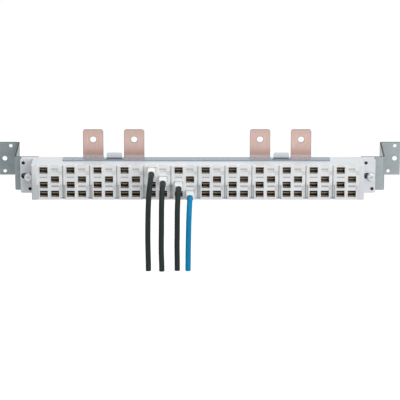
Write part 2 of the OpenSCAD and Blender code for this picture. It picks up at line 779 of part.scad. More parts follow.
module plug_blades() color(COPPER) {
    for (cell = WIRED) at_cell(cell) translate([-blade_w / 2, plug_in - blade_root, blade_z - blade_t / 2])
        cube([blade_w, blade_root + blade_l, blade_t]);
}

function unit(v) = v / norm(v);

function route_direction(route, i) = unit(route[min(i + 1, len(route) - 1)] - route[max(i - 1, 0)]);

function ring(centre, direction, r, sides) = let (
    across = unit([1, 0, 0] - direction[0] * direction),
    up = cross(direction, across)
) [for (k = [0:sides - 1]) centre + r * (cos(360 * k / sides) * across + sin(360 * k / sides) * up)];

// A round tube along the points of a route
module tube(route, d, sides) {
    rings = len(route);
    points = [for (i = [0:rings - 1]) each ring(route[i], i == 0 ? unit(route[1] - route[0]) :
        route_direction(route, i), d / 2, sides)];
    side_faces = [for (i = [0:rings - 2], k = [0:sides - 1]) let (
        a = i * sides + k,
        b = i * sides + (k + 1) % sides
    ) [a, a + sides, b + sides, b]];
    polyhedron(points, concat(
        side_faces,
        [[for (k = [0:sides - 1]) k]],
        [[for (k = [0:sides - 1]) rings * sides - 1 - k]]
    ));
}

// A wire starts on its plug's face, so it follows the plug if the block's sizes change
module wire(i) color(i == wire_count - 1 ? BLUE : BLACK) {
    start = WIRE_ROUTES[i][0];
    at_cell(WIRED[i]) translate([0, -plug_out, -wire_drop]) tube([for (p = WIRE_ROUTES[i]) p - start],
        wire_d, wire_sides);
}

carrier();
end_cap_left();
end_cap_right();
cover_strip();
cover_clip(clip_x[0]);  // cover_clip_left
cover_clip(clip_x[1]);  // cover_clip_right
lug_rivets();
bracket_left();
bracket_right();
mounting_screws();
mounting_nuts();
plug_blades();
for (i = [1:module_count])
    terminal_module(i - 1);
for (i = [1:pole_count]) {
    busbar(i - 1);
    contact_springs(i - 1);
    feed_lug(i - 1);
}
for (i = [1:pole_count - 1])
    barrier_rail(i - 1);
for (i = [1:wire_count]) {
    wire_plug(i - 1);
    wire_boot(i - 1);
    wire(i - 1);
}
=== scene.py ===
"""Looks of a four-pole power distribution block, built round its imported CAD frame.

A row of plug-in terminal modules closes the front of a moulded carrier. Copper feed lugs stand
behind it, zinc-plated brackets hold its ends and four wires are plugged into the windows.
Every length is in metres, in the frame of the CAD model: -Y is the front and +Z is up.
"""
import logging
import math
from contextlib import contextmanager
from dataclasses import dataclass, replace
from enum import Enum
from functools import cache, reduce
from typing import Callable, Iterator, Mapping, NamedTuple, Optional, Sequence, Union

import bpy
from mathutils import Matrix, Vector


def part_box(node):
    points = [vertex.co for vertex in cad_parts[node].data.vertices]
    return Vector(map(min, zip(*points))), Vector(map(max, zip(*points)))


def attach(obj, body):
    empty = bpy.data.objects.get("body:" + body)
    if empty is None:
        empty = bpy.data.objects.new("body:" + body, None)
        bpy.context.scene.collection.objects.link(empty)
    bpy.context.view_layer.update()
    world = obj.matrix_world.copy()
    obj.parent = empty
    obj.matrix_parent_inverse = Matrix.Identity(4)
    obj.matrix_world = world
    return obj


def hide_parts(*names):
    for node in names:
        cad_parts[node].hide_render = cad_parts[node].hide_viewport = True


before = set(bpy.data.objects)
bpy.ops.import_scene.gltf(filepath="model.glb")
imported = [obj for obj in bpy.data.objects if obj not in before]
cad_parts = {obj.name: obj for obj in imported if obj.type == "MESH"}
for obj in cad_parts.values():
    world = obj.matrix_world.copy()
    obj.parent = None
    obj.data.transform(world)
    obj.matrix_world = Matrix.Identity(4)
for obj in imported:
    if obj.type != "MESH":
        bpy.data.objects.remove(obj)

LOG = logging.getLogger("distribution_block")
MM = 0.001
BODY = "root"

Span = tuple[float, float]
Point = tuple[float, float, float]
Colour = tuple[float, float, float, float]
Box = tuple[Sequence[float], Sequence[float]]
Piece = bpy.types.Object
Socket = bpy.types.NodeSocket
Test = Callable[[Vector], bool]
Axes = tuple["Signal", "Signal", "Signal"]
Layer = tuple["Signal", Colour]
Operand = Union["Signal", float]
SocketValue = Union["Signal", Socket, float, Sequence[float]]

BLACK: Colour = (0.0, 0.0, 0.0, 1.0)
WHITE: Colour = (1.0, 1.0, 1.0, 1.0)
NOISE_MIDDLE = 0.5
NOISE_SPAN: Span = (0.3, 0.7)

MERGE_DISTANCE = 0.001 * MM
FLAT_ANGLE, SMOOTH_ANGLE, ROUNDED_ANGLE, SHARP_ANGLE = map(math.radians, (0.5, 32, 40, 60))
ROUND_STEPS = 2
FACE_WEIGHT = 100

MODULE_COUNT = 12
MODULE_PITCH = 36 * MM
ROW_X = -2.5 * MM
ROW_LEFT = ROW_X - MODULE_COUNT * MODULE_PITCH / 2
LUG_CENTRES = tuple(x * MM for x in (-143, -88, 81, 136))
BUSBAR_ROWS = tuple(z * MM for z in (14.75, 2.3, -4.95, -17.5))


def srgb(*parts: int) -> Colour:
    """Turn a screen colour into the linear colour that a shader takes.

    Args:
        *parts: Red, green and blue, 0 to 255.

    Returns:
        The linear colour with full alpha.
    """
    levels = [part / 255 for part in parts]
    return *(level / 12.92 if level <= 0.04045 else ((level + 0.055) / 1.055) ** 2.4
             for level in levels), 1.0


def shade(colour: Colour, factor: float) -> Colour:
    """Make a colour darker or lighter by one factor."""
    return colour[0] * factor, colour[1] * factor, colour[2] * factor, colour[3]


class Slot(Enum):
    """Material slots of the record."""

    SHELL = "shell"
    FRONT = "front"
    STRIP = "strip"
    CLIP = "clip"
    COPPER = "copper"
    ZINC = "zinc"
    SCREW = "screw"
    PLUG = "plug"
    WIRE_BLACK = "wire_black"
    WIRE_BLUE = "wire_blue"


def operator(operation: str, reflected: bool = False) -> Callable[["Signal", Operand], "Signal"]:
    """Make a signal's method out of one Math node.

    Args:
        operation: Name of the node's operation.
        reflected: Whether the signal is the second term.

    Returns:
        The method.
    """
    def method(self: "Signal", other: Operand) -> "Signal":
        """Add the Math node."""
        return self.math(operation, *((other, self) if reflected else (self, other)))

    return method


class Signal:
    """One output socket whose arithmetic adds Math nodes to its graph."""

    def __init__(self, graph: "Graph", socket: Socket) -> None:
        """Hold a socket and the graph that it belongs to."""
        self.graph = graph
        self.socket = socket

    def math(self, operation: str, *terms: Operand) -> "Signal":
        """Add one Math node with the terms in its sockets."""
        made = self.graph.node("ShaderNodeMath", {"operation": operation}, dict(enumerate(terms)))
        return Signal(self.graph, made.outputs[0])

    __add__ = operator("ADD")
    __radd__ = operator("ADD", reflected=True)
    __sub__ = operator("SUBTRACT")
    __rsub__ = operator("SUBTRACT", reflected=True)
    __mul__ = operator("MULTIPLY")
    __rmul__ = operator("MULTIPLY", reflected=True)
    lower = operator("MINIMUM")
    higher = operator("MAXIMUM")

    def __abs__(self) -> "Signal":
        """Drop the sign."""
        return self.math("ABSOLUTE", self)

    def root(self) -> "Signal":
        """Take the square root."""
        return self.math("SQRT", self)

    def wrap(self, period: float) -> "Signal":
        """Start again from 0 after every period."""
        return self.math("FRACT", self.math("DIVIDE", self, period)) * period

    def swing(self, amount: float) -> "Signal":
        """Let a noise swing about 0 by an amount."""
        return (self - NOISE_MIDDLE) * amount

    def nearest(self, places: Sequence[float]) -> "Signal":
        """Give the distance to the nearest of some places."""
        return reduce(Signal.lower, [abs(self - place) for place in places])

    def band(self, low: float, high: float) -> "Signal":
        """Rise smoothly from 0 to 1 between two values.

        Args:
            low: Value where the rise starts.
            high: Value where it ends; below low, the signal falls instead.

        Returns:
            The smooth step.
        """
        start, end = min(low, high), max(low, high)
        made = self.graph.node("ShaderNodeMapRange", {"interpolation_type": "SMOOTHSTEP"},
                               {"Value": self, "From Min": start, "From Max": end})
        step = Signal(self.graph, made.outputs["Result"])
        return step if high >= low else 1.0 - step


class Noise(NamedTuple):
    """A cloudy noise: size of a cloud, factors that draw it into streaks, and finer levels."""

    size: float
    stretch: Optional[Point] = None
    detail: float = 3.0
    roughness: float = 0.6


class Graph:
    """The nodes of one material or world."""

    def __init__(self, owner: Union[bpy.types.Material, bpy.types.World]) -> None:
        """Clear the owner's nodes and start afresh."""
        owner.use_nodes = True
        self.tree = owner.node_tree
        self.tree.nodes.clear()

    def node(self, kind: str, settings: Optional[Mapping[str, object]] = None,
             sockets: Optional[Mapping[Union[str, int], SocketValue]] = None) -> bpy.types.Node:
        """Add a node, set it up and feed its sockets.

        Args:
            kind: Blender's name of the node's type.
            settings: The node's own properties, which are set first.
            sockets: Values or links of its inputs, by name or number.

        Returns:
            The new node.
        """
        made = self.tree.nodes.new(kind)
        for key, value in (settings or {}).items():
            setattr(made, key, value)
        for key, value in (sockets or {}).items():
            self.feed(made.inputs[key], value)
        return made

    def feed(self, socket: Socket, value: SocketValue) -> None:
        """Link a signal or another socket to a socket, or set its value.

        Args:
            socket: The socket that is fed.
            value: What feeds it.
        """
        if isinstance(value, Signal):
            value = value.socket
        if isinstance(value, Socket):
            self.tree.links.new(value, socket)
        else:
            socket.default_value = value

    def place(self) -> Socket:
        """Give the place on the piece, in metres in the CAD frame."""
        return self.node("ShaderNodeTexCoord").outputs["Object"]

    def axes(self, vector: Socket) -> Axes:
        """Split a vector into its three parts."""
        made = self.node("ShaderNodeSeparateXYZ", sockets={0: vector})
        return tuple(Signal(self, made.outputs[i]) for i in range(3))

    def noise(self, place: Socket, kind: Noise) -> Signal:
        """Read a cloudy noise.

        Args:
            place: Where it is read.
            kind: The noise.

        Returns:
            Its value, about 0.3 to 0.7.
        """
        if kind.stretch:
            place = self.node("ShaderNodeMapping",
                              sockets={"Vector": place, "Scale": kind.stretch}).outputs[0]
        made = self.node("ShaderNodeTexNoise", sockets={
            "Vector": place, "Scale": 1 / kind.size, "Detail": kind.detail,
            "Roughness": kind.roughness})
        return Signal(self, made.outputs[0])

    def cells(self, place: Socket, size: float) -> Signal:
        """Give each irregular cell of about that size its own value, 0 to 1."""
        made = self.node("ShaderNodeTexVoronoi", sockets={"Vector": place, "Scale": 1 / size})
        return self.axes(made.outputs["Color"])[0]

    def blend(self, factor: Operand, first: SocketValue, second: SocketValue) -> Socket:
        """Mix two colours, with the factor as the second one's share."""
        made = self.node("ShaderNodeMix", {"data_type": "RGBA"}, {0: factor, 6: first, 7: second})
        return made.outputs[2]

    def vary(self, factor: Signal, colour: Colour, tones: Span) -> Socket:
        """Mix a darker and a lighter tone of a colour, given as factors on it."""
        return self.blend(factor, *(shade(colour, tone) for tone in tones))

    def cover(self, tone: Socket, layers: Sequence[Layer]) -> Socket:
        """Blend layers over a colour, one after the other."""
        for share, colour in layers:
            tone = self.blend(share, tone, colour)
        return tone

    def bump(self, height: Signal, distance: float) -> Socket:
        """Turn a height, where 1 stands for the distance, into a normal."""
        made = self.node("ShaderNodeBump", sockets={"Height": height, "Distance": distance})
        return made.outputs[0]


class SurfaceGraph(Graph):
    """The nodes of one material, with a Principled shader at their end."""

    def __init__(self, name: str) -> None:
        """Start a material.

        Args:
            name: Its name.
        """
        self.material = bpy.data.materials.new(name)
        super().__init__(self.material)
        self.shader = self.node("ShaderNodeBsdfPrincipled")
        self.node("ShaderNodeOutputMaterial", sockets={"Surface": self.shader.outputs[0]})

    def surface(self, **sockets: SocketValue) -> None:
        """Feed sockets of the shader, named with _ in place of a space."""
        for key, value in sockets.items():
            self.feed(self.shader.inputs[key.replace("_", " ")], value)


@dataclass(frozen=True)
class Finish:
    """A surface finish."""

    name: str
    colour: Colour
    roughness: float

    def paint(self, graph: SurfaceGraph) -> None:
        """Fill the material's graph."""
        raise NotImplementedError

    @cache
    def material(self) -> bpy.types.Material:
        """Make the finish's material, once."""
        graph = SurfaceGraph(self.name)
        self.paint(graph)
        return graph.material

    def dress(self, piece: Piece) -> None:
        """Give a piece or a CAD node this finish alone."""
        piece.data.materials.clear()
        piece.data.materials.append(self.material())


@dataclass(frozen=True)
class MouldedPlastic(Finish):
    """Satin moulded plastic with a fine spark-eroded grain and faint flow clouds."""

    grain: Noise = Noise(0.45 * MM, detail=2)
    grain_gloss: float = 0.12
    relief: float = 0.012 * MM
    flow: Noise = Noise(14 * MM, (0.4, 1, 1), roughness=0.5)
    flow_gloss: float = 0.1
    tones: Span = (0.97, 1.015)

    def paint(self, graph: SurfaceGraph) -> None:
        """Vary tone with the melt's flow, and gloss with the mould's grain.

        Args:
            graph: The material's graph.
        """
        place = graph.place()
        flow = graph.noise(place, self.flow)
        grain = graph.noise(place, self.grain)
        tone = graph.vary(flow.band(*NOISE_SPAN), self.colour, self.tones)
        graph.surface(
            Base_Color=graph.cover(tone, self.layers(graph.axes(place))),
            Roughness=(self.roughness + grain.swing(self.grain_gloss)
                       + flow.swing(self.flow_gloss)),
            Normal=graph.bump(grain, self.relief),
        )

    def layers(self, at: Axes) -> list[Layer]:
        """List what covers the plastic's own colour: here, nothing."""
        return []


@dataclass(frozen=True)
class HollowShell(MouldedPlastic):
    """Moulding with painted shade, a dull dark colour, inside it and in its slots and ear holes.
    """

    inside_shade: Colour = BLACK
    middle: Point = (ROW_X, -97.7 * MM, -0.95 * MM)
    cavity: Point = (215.8 * MM, 19.85 * MM, 23.55 * MM)
    ear_end: float = 238.5 * MM
    ear_face: float = -85.5 * MM
    blur: float = 0.1 * MM

    def layers(self, at: Axes) -> list[Layer]:
        """Paint shade on the carrier's inside and in the holes of its ears.

        Args:
            at: Parts of the place.

        Returns:
            Share and colour of each layer.
        """
        along, deep, high = (abs(part - middle) for part, middle in zip(at, self.middle))
        in_row, in_depth, in_height = (
            part.band(half + self.blur, half)
            for part, half in zip((along, deep, high), self.cavity))
        in_ear = (along.band(self.ear_end + self.blur, self.ear_end)
                  * at[1].band(self.ear_face - self.blur, self.ear_face))
        return [(in_depth * in_height * in_row.higher(in_ear), self.inside_shade)]


@dataclass(frozen=True)
class FootShadedPlastic(MouldedPlastic):
    """Moulding with painted shade, a darker colour, towards its foot."""

    foot: Colour = BLACK
    foot_z: float = -8 * MM
    head_z: float = 18 * MM

    def layers(self, at: Axes) -> list[Layer]:
        """Lay the painted shade's colour over the lower end."""
        return [(at[2].band(self.head_z, self.foot_z), self.foot)]


class Mark(NamedTuple):
    """A grey area on a module's front, with X from the module's middle; some are inlaid marks,
    some painted shadow.
    """

    left: float
    right: float
    low: float
    high: float
    strength: float


# The first two are inlaid marks. The pad's top and right-hand lines are painted shadow under its
# edges, and the two patches at the right margin are painted shade.
MARKS_AND_SHADOWS = tuple(Mark(*(place * MM for place in places), strength) for *places, strength in (
    (-12.6, -2.6, 5.85, 7.25, 0.85), (2.6, 12.2, -7.3, -4.6, 0.75),
    (2.4, 11.4, 17.2, 18.2, 0.95), (10.4, 11.4, 13.4, 17.2, 0.45),
    (12.3, 17.4, -11.4, -5.0, 0.45), (12.3, 17.4, 9.6, 15.4, 0.3)))


@dataclass(frozen=True)
class ModulePlastic(MouldedPlastic):
    """Front moulding with painted shade in its wire windows and grooves, and grey inlaid marks
    among painted shadows.
    """

    window_shade: Colour = BLACK
    window_shade_from: Span = (0.5 * MM, 2.4 * MM)
    window_shade_to: Span = (3 * MM, 7 * MM)
    window_shade_share: float = 0.85
    window_shade_loss: float = 0.6
    groove_shade: Colour = BLACK
    groove_shade_depth: Span = (0.9 * MM, 1.5 * MM)
    notch_shade: Span = (0.1, 0.1)
    seam_shade: Span = (0.1, 0.35)
    inlay_and_shade: Colour = BLACK
    inlay_and_shade_depth: Span = (1.25 * MM, 1.15 * MM)
    column: float = 7.6 * MM
    window: Span = (5.7 * MM, 5.5 * MM)
    front: float = -120 * MM
    notch: Span = (14.6 * MM, 14.8 * MM)
    seam: Span = (17.05 * MM, 17.25 * MM)
    low: Span = (4.15 * MM, -3.85 * MM)
    blur: float = 0.05 * MM

    def marks(self, across: Signal, z: Signal) -> Signal:
        """Lay out the inlaid marks and painted shadows of one module.

        Args:
            across: Distance to the right of the module's middle.
            z: Height.

        Returns:
            Strength of the inlaid marks and painted shadows, 0 to 1.
        """
        def within(part: Signal, low: float, high: float) -> Signal:
            """Give 1 between two places and 0 outside them."""
            half = (high - low) / 2
            return abs(part - (low + half)).band(half + self.blur, half - self.blur)

        return reduce(Signal.higher, [
            within(across, mark.left, mark.right) * within(z, mark.low, mark.high) * mark.strength
            for mark in MARKS_AND_SHADOWS])

    def layers(self, at: Axes) -> list[Layer]:
        """Lay out the painted shade of the windows and grooves, and the marks with their painted
        shadows.

        Args:
            at: Parts of the place.

        Returns:
            Share and colour of each layer.
        """
        x, y, z = at
        depth = y - self.front
        across = (x - ROW_LEFT).wrap(MODULE_PITCH) - MODULE_PITCH / 2
        aside = abs(across)
        # Painted shade in the wire windows: strongest 2.4 to 3 mm behind the front, weaker further
        # in.
        window_shaded = depth.band(*self.window_shade_from) * (
            self.window_shade_share - depth.band(*self.window_shade_to) * self.window_shade_loss)
        low = z.band(*self.low)
        # Painted shade in the side notches and along the seams, stronger in the lower half.
        on_notch, on_seam = (share + low * more
                             for share, more in (self.notch_shade, self.seam_shade))
        groove_shaded = depth.band(*self.groove_shade_depth) * (on_notch + aside.band(*self.seam) * on_seam)
        return [(abs(aside - self.column).band(*self.window) * window_shaded, self.window_shade),
                (aside.band(*self.notch) * groove_shaded, self.groove_shade),
                (self.marks(across, z) * depth.band(*self.inlay_and_shade_depth), self.inlay_and_shade)]


@dataclass(frozen=True)
class Stock(Finish):
    """Rolled, drawn or extruded stock: streaks along it, under clouds of tarnish or a dusting."""

    clouded: Colour
    cloud: Noise = Noise(6 * MM, detail=4)
    cloud_span: Span = (0.36, 0.68)
    cloud_share: float = 0.3
    cloud_gloss: float = 0.08
    streak: Noise = Noise(0.5 * MM, (0.02, 1, 1))
    streak_gloss: float = 0.2
    relief: float = 0.006 * MM
    tones: Span = (0.92, 1.06)
    bare: float = 1.0
    specular: float = 0.5

    def paint(self, graph: SurfaceGraph) -> None:
        """Draw the streaks and lay the clouds over them.

        Args:
            graph: The material's graph.
        """
        place = graph.place()
        streak = graph.noise(place, self.streak)
        cloud = graph.noise(place, self.cloud).band(*self.cloud_span)
        tone = graph.vary(streak.band(*NOISE_SPAN), self.colour, self.tones)
        graph.surface(
            Base_Color=graph.blend(cloud * self.cloud_share, tone, self.clouded),
            Metallic=self.bare,
            Roughness=(self.roughness + streak.swing(self.streak_gloss)
                       + cloud * self.cloud_gloss),
            Normal=graph.bump(streak, self.relief),
            Specular_IOR_Level=self.specular,
        )


@dataclass(frozen=True)
class BareCopper(Finish):
    """Sawn and brushed copper strip with a darker foot and greyed edges."""

    foot: Colour
    base: Colour
    edge: Colour
    half_width: float = 13.75 * MM
    top: float = 62.45 * MM
    hole_z: float = 48.45 * MM
    hole_r: float = 4.2 * MM
    foot_rise: Span = (39.6 * MM, 29.6 * MM)
    foot_wave: float = 4 * MM
    foot_share: float = 0.85
    base_rise: Span = (29 * MM, 25 * MM)
    head_tone: float = 0.86
    head_share: float = 0.8
    head_rise: Span = (46.45 * MM, 62.45 * MM)
    bare: float = 0.9
    brush: Noise = Noise(0.9 * MM, (1, 1, 0.03), detail=4)
    brush_span: Span = (0.32, 0.68)
    brush_gloss: float = 0.25
    relief: float = 0.012 * MM
    tones: Span = (0.9, 1.06)
    stain: Noise = Noise(9 * MM, (1, 1, 0.5))
    stain_span: Span = (0.4, 0.75)
    stain_share: float = 0.35
    wear: Span = (1.5 * MM, 0.3 * MM)
    wear_wave: float = 0.5 * MM
    wear_share: float = 0.7
    wear_gloss: float = 0.12

    def paint(self, graph: SurfaceGraph) -> None:
        """Brush the faces upwards, darken the foot and grey the cut edges and the hole's rim.

        Args:
            graph: The material's graph.
        """
        place = graph.place()
        x, _, z = graph.axes(place)
        across = x.nearest(LUG_CENTRES)
        rise = z - self.hole_z
        to_hole = (across * across + rise * rise).root() - self.hole_r
        inset = (self.half_width - across).lower(self.top - z).lower(to_hole)
        brush = graph.noise(place, self.brush)
        stain = graph.noise(place, self.stain)
        foot = (z + stain.swing(self.foot_wave)).band(*self.foot_rise)
        worn = (inset + stain.swing(self.wear_wave)).band(*self.wear)
        tone = graph.vary(brush.band(*self.brush_span), self.colour, self.tones)
        head = shade(self.colour, self.head_tone)
        graph.surface(
            Base_Color=graph.cover(tone, [
                (stain.band(*self.stain_span) * self.stain_share, self.foot),
                (foot * self.foot_share, self.foot),
                (z.band(*self.head_rise) * self.head_share, head),
                (z.band(*self.base_rise), self.base),
                (worn * self.wear_share, self.edge)]),
            Metallic=self.bare,
            Roughness=(self.roughness + brush.swing(self.brush_gloss)
                       + worn * self.wear_gloss),
            Normal=graph.bump(brush, self.relief),
        )


@dataclass(frozen=True)
class ShadedEdgeBar(Stock):
    """Copper bar under painted shade, a dark brown, but for a line of bare metal on its front
    edge.
    """

    bar_shade: Colour = BLACK
    bar_shade_gloss: float = 0.25
    front: float = -110 * MM
    lift: float = 0.1 * MM
    bare_depth: Span = (0.35 * MM, 0.175 * MM)
    bare_rise: Span = (0.62 * MM, 0.42 * MM)

    def paint(self, graph: SurfaceGraph) -> None:
        """Show bright metal in a line on the front edge, and painted shade round it.

        Args:
            graph: The material's graph.
        """
        place = graph.place()
        _, y, z = graph.axes(place)
        rise = z.nearest([row + self.lift for row in BUSBAR_ROWS])
        bright = (y - self.front).band(*self.bare_depth) * rise.band(*self.bare_rise)
        streak = graph.noise(place, self.streak)
        cloud = graph.noise(place, self.cloud).band(*self.cloud_span)
        metal = graph.blend(cloud * self.cloud_share, self.colour, self.clouded)
        # Painted shade over the bar, except the bright line of its front edge.
        graph.surface(
            Base_Color=graph.blend(bright, self.bar_shade, metal),
            Metallic=bright * self.bare,
            Roughness=(self.roughness + (1 - bright) * self.bar_shade_gloss
                       + streak.swing(self.streak_gloss)),
            Normal=graph.bump(streak, self.relief),
        )


@dataclass(frozen=True)
class ZincSheet(Finish):
    """Zinc-plated sheet steel with a dull spangle and upright handling marks."""

    spangle: float = 5 * MM
    spangle_tone: float = 0.84
    spangle_share: float = 0.3
    spangle_gloss: float = 0.1
    cut: Span = (22.95 * MM, 23.1 * MM)
    cut_tone: float = 0.12
    cut_share: float = 0.95
    cut_gloss: float = 0.4
    haze: Noise = Noise(22 * MM, detail=4)
    haze_gloss: float = 0.04
    tones: Span = (0.93, 1.05)
    streak: Noise = Noise(0.7 * MM, (1, 1, 0.04))
    streak_gloss: float = 0.18
    relief: float = 0.008 * MM
    bare: float = 0.6

    def paint(self, graph: SurfaceGraph) -> None:
        """Give each crystal its tone and gloss under upright streaks, and dull the cut edges.

        Args:
            graph: The material's graph.
        """
        place = graph.place()
        _, _, z = graph.axes(place)
        cut = abs(z).band(*self.cut)
        crystal = graph.cells(place, self.spangle)
        haze = graph.noise(place, self.haze).band(*NOISE_SPAN)
        streak = graph.noise(place, self.streak)
        tone = graph.vary(haze, self.colour, self.tones)
        graph.surface(
            Base_Color=graph.cover(tone, [
                (crystal * self.spangle_share, shade(self.colour, self.spangle_tone)),
                (cut * self.cut_share, shade(self.colour, self.cut_tone))]),
            Metallic=(1 - cut) * self.bare,
            Roughness=(self.roughness + crystal.swing(self.spangle_gloss)
                       + streak.swing(self.streak_gloss) + haze * self.haze_gloss
                       + cut * self.cut_gloss),
            Normal=graph.bump(streak, self.relief),
        )


# The shell's inside colour is painted shade.
SHELL = HollowShell("shell_plastic", srgb(222, 226, 230), 0.42, inside_shade=srgb(78, 86, 98))
# Both caps are painted darker towards their feet, and the left cap is a darker, shaded copy of the
# right one: painted shade.
CAP_LEFT = FootShadedPlastic("cap_plastic_left", srgb(220, 223, 226), 0.42, foot=srgb(192, 195, 199))
CAP_RIGHT = FootShadedPlastic("cap_plastic_right", srgb(222, 226, 230), 0.42,
                          foot=srgb(214, 217, 221))
# FRONT's window and groove colours, and some of its grey marks, are painted shade.
FRONT = ModulePlastic("module_plastic", srgb(228, 230, 231), 0.4, window_shade=srgb(150, 130, 106),
                      groove_shade=srgb(120, 124, 130), inlay_and_shade=srgb(160, 162, 164))
RAIL = MouldedPlastic("barrier_plastic", srgb(142, 130, 110), 0.5)
# The clip's foot, down in the strip's slot, is painted shade.
CLIP = FootShadedPlastic("clip_plastic", srgb(230, 235, 240), 0.4, foot=srgb(132, 144, 156),
                     foot_z=24.3 * MM, head_z=24.9 * MM)
PLUG = MouldedPlastic("plug_plastic", srgb(246, 246, 244), 0.38)
STRIP = Stock("strip_plastic", srgb(134, 148, 162), 0.26, clouded=srgb(214, 218, 222),
              cloud=Noise(4 * MM, detail=4, roughness=0.65), cloud_span=(0.52, 0.72),
              cloud_share=0.05, cloud_gloss=0.06, streak=Noise(0.2, (1, 160, 160), roughness=0.5),
              streak_gloss=0.05, relief=0.01 * MM, tones=(0.96, 1.03), bare=0.0)
COPPER = BareCopper("lug_copper", srgb(203, 176, 167), 0.42, foot=srgb(194, 160, 148),
                    base=srgb(226, 202, 194), edge=srgb(158, 148, 146))
BUSBAR = ShadedEdgeBar("busbar_copper", srgb(166, 148, 128), 0.4, bar_shade=srgb(58, 48, 38),
                    clouded=shade(srgb(166, 148, 128), 0.55), cloud=Noise(5 * MM, detail=4),
                    cloud_span=(0.4, 0.7), cloud_share=0.5, relief=0.008 * MM, bare=0.9)
RIVET = Stock("rivet_copper", srgb(200, 150, 120), 0.35, clouded=srgb(140, 92, 66))
BRONZE = Stock("spring_bronze", srgb(124, 108, 84), 0.45, clouded=srgb(84, 70, 52), bare=0.3)
CONDUCTOR = Stock("strand_copper", srgb(216, 150, 116), 0.3, clouded=srgb(150, 86, 56),
                  streak=Noise(0.5 * MM, (1, 1, 0.05)))
STEEL = Stock("screw_steel", srgb(204, 207, 208), 0.28, clouded=srgb(140, 143, 143),
              cloud=Noise(3 * MM, detail=4), streak=Noise(0.5 * MM, (1, 0.05, 1)))
# The left bracket is a darker, shaded copy of the right one: painted shade.
ZINC_LEFT = ZincSheet("bracket_zinc_left", srgb(143, 153, 156), 0.44)
ZINC_RIGHT = ZincSheet("bracket_zinc_right", srgb(156, 164, 166), 0.42)
BLACK_WIRE = Stock("black_insulation", srgb(48, 56, 55), 0.36, clouded=(0.2, 0.22, 0.22, 1.0),
                   cloud=Noise(7 * MM, detail=4), cloud_span=(0.42, 0.7), cloud_share=0.02,
                   cloud_gloss=0.12, streak=Noise(0.8 * MM, (1, 1, 0.02)), streak_gloss=0.12,
                   relief=0.01 * MM, tones=(0.85, 1.12), bare=0.0, specular=0.05)
BLUE_WIRE = replace(BLACK_WIRE, name="blue_insulation", colour=srgb(20, 134, 184))


def link(thing: Piece) -> None:
    """Put an object into the scene."""
    bpy.context.scene.collection.objects.link(thing)


def only(piece: Piece) -> None:
    """Select one piece alone and make it the active one."""
    bpy.ops.object.select_all(action="DESELECT")
    piece.select_set(True)
    bpy.context.view_layer.objects.active = piece


def started(add: Callable[..., set[str]], **settings: object) -> Piece:
    """Add a primitive as a start, with its place, turn and size in its mesh.

    Args:
        add: Blender's operator that adds it.
        **settings: The operator's settings.

    Returns:
        The new piece.
    """
    bpy.ops.object.select_all(action="DESELECT")
    add(**settings)
    piece = bpy.context.object
    only(piece)
    bpy.ops.object.transform_apply(location=True, rotation=True, scale=True)
    return piece


def block(low: Sequence[float], high: Sequence[float]) -> Piece:
    """Model a plain block between two corners, as a start."""
    return started(bpy.ops.mesh.primitive_cube_add, size=1,
                   location=[(a + b) / 2 for a, b in zip(low, high)],
                   scale=[b - a for a, b in zip(low, high)])


@contextmanager
def editing(piece: Piece, wanted: Optional[Test] = None) -> Iterator[None]:
    """Go into edit mode with a piece's corners selected, and back to object mode after.

    Args:
        piece: The piece.
        wanted: Tells from a corner's place whether it is selected; otherwise all are.

    Returns:
        The context, which gives no value.
    """
    only(piece)
    bpy.ops.object.mode_set(mode="EDIT")
    bpy.ops.mesh.select_all(action="DESELECT" if wanted else "SELECT")
    if wanted:
        bpy.ops.object.mode_set(mode="OBJECT")
        for corner in piece.data.vertices:
            corner.select = wanted(corner.co)
        bpy.ops.object.mode_set(mode="EDIT")
    yield
    bpy.ops.mesh.select_mode(type="VERT")
    bpy.ops.object.mode_set(mode="OBJECT")


def select_sharp(angle: float) -> None:
    """Select the edges in edit mode that are bent by more than an angle."""
    bpy.ops.mesh.select_mode(type="EDGE")
    bpy.ops.mesh.select_all(action="DESELECT")
    bpy.ops.mesh.edges_select_sharp(sharpness=angle)


def grow(offset: Point) -> None:
    """Extrude what is selected in edit mode by an offset."""
    bpy.ops.mesh.extrude_region_move(TRANSFORM_OT_translate={"value": offset})


def face_outwards() -> None:
    """Turn all the faces in edit mode outwards."""
    bpy.ops.mesh.select_all(action="SELECT")
    bpy.ops.mesh.normals_make_consistent(inside=False)


def modify(piece: Piece, kind: str, **settings: object) -> None:
    """Add a modifier to a piece and apply it.

    Args:
        piece: The piece.
        kind: Blender's name of the modifier's type.
        **settings: The modifier's properties.
    """
    only(piece)
    made = piece.modifiers.new(kind.lower(), kind)
    for key, value in settings.items():
        setattr(made, key, value)
    bpy.ops.object.modifier_apply(modifier=made.name)


def carve(piece: Piece, tool: Piece, operation: str = "DIFFERENCE") -> None:
    """Cut a piece with a tool, which is used up, by one of Blender's boolean operations."""
    modify(piece, "BOOLEAN", object=tool, operation=operation, solver="EXACT")
    bpy.data.objects.remove(tool)


def smooth(piece: Piece, angle: float = SMOOTH_ANGLE) -> None:
    """Smooth a piece's shading across edges flatter than an angle."""
    only(piece)
    bpy.ops.object.shade_smooth_by_angle(angle=angle)


def flatten(piece: Piece) -> None:
    """Keep a piece's flat faces flat beside rounded edges, and its other edges sharp.

    Args:
        piece: The piece.
    """
    with editing(piece):
        select_sharp(SHARP_ANGLE)
        bpy.ops.mesh.mark_sharp()
    smooth(piece)
    modify(piece, "WEIGHTED_NORMAL", mode="FACE_AREA", weight=FACE_WEIGHT, keep_sharp=True)


